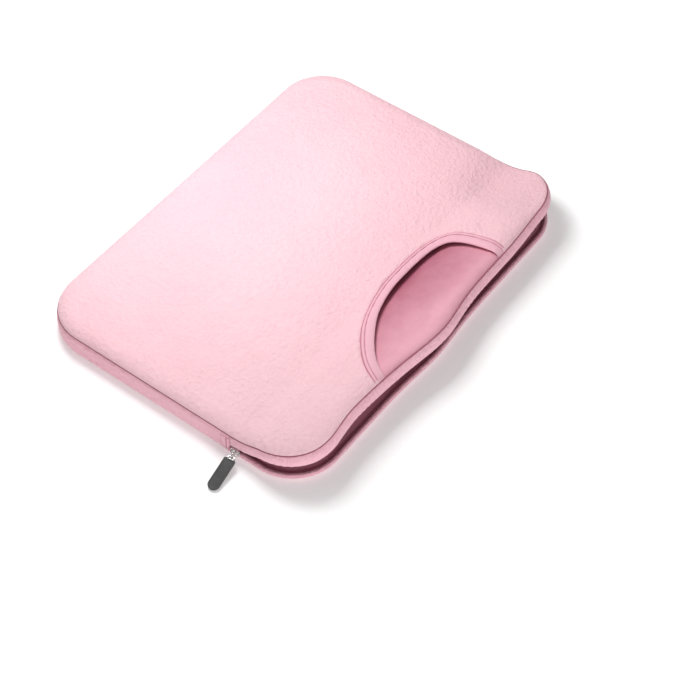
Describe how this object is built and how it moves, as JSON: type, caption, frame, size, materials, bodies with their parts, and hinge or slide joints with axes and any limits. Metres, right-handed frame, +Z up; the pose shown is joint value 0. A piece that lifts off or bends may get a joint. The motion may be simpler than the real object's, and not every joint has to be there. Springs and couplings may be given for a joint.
{
  "type": "laptop sleeve",
  "caption": "Padded zip-round laptop sleeve with a folding mouth flap, a half-moon front pocket and a zip slider with a hinged pull tab.",
  "frame": {"origin": "centre of the flat underside, on the surface that the sleeve lies on", "axes": "+X along the long side, with the zip slider at -X; the mouth opens towards -Y; +Z up through the front panel"},
  "size_m": [0.3807, 0.2565, 0.0451],
  "materials": {
    "outer_fabric": "soft matt laminated neoprene, light pink",
    "band_fabric": "ribbed stretch fabric, mid pink",
    "binding_fabric": "folded stretch binding, light pink",
    "lining_fabric": "brushed knit lining, dark pink",
    "zip_tape": "woven tape, maroon pink",
    "zip_coil": "satin nylon coil, maroon",
    "zip_metal": "plated zinc, bright silver",
    "tab_rubber": "moulded matt rubber, dark grey"
  },
  "bodies": {
    "sleeve": {"back_panel": "outer_fabric", "back_lining": "lining_fabric", "back_seam_binding": "lining_fabric", "rear_gusset": "band_fabric", "lower_band": "band_fabric", "lower_zip_tape": "zip_tape", "lower_zip_coil": "zip_coil", "left_zip_end_patch": "band_fabric", "right_zip_end_patch": "band_fabric", "zip_stops": "zip_metal", "front_panel_rear": "outer_fabric", "pocket_wall_rear": "lining_fabric", "front_lining_rear": "lining_fabric", "front_seam_binding_rear": "lining_fabric"},
    "mouth_flap": {"front_panel_flap": "outer_fabric", "pocket_wall_flap": "lining_fabric", "front_lining_flap": "lining_fabric", "front_seam_binding_flap": "lining_fabric", "upper_band": "band_fabric", "upper_zip_tape": "zip_tape", "upper_zip_coil": "zip_coil", "pocket_binding": "binding_fabric"},
    "slider": {"slider_body": "zip_metal", "slider_crown": "zip_metal"},
    "ring": {"pull_ring": "zip_metal"},
    "tab": {"tab_clip": "zip_metal", "pull_tab": "tab_rubber"}
  },
  "joints": [
    {"name": "mouth_fold", "type": "hinge", "parent": "sleeve", "child": "mouth_flap", "pos_m": [0, -0.0615, 0.02], "axis": [-1, 0, 0], "range_deg": [-15, 30]},
    {"name": "slider_run", "type": "slide", "parent": "sleeve", "child": "slider", "axis": [0, -1, 0], "range_m": [0, 0.015]},
    {"name": "ring_turn", "type": "hinge", "parent": "slider", "child": "ring", "pos_m": [-0.1753, -0.0672, 0.0074], "axis": [0, 0, 1], "range_deg": [-45, 26]},
    {"name": "tab_swing", "type": "hinge", "parent": "ring", "child": "tab", "pos_m": [-0.17757, -0.06758, 0.0074], "axis": [-0.165, 0.9863, 0], "range_deg": [-60, 85]}
  ]
}
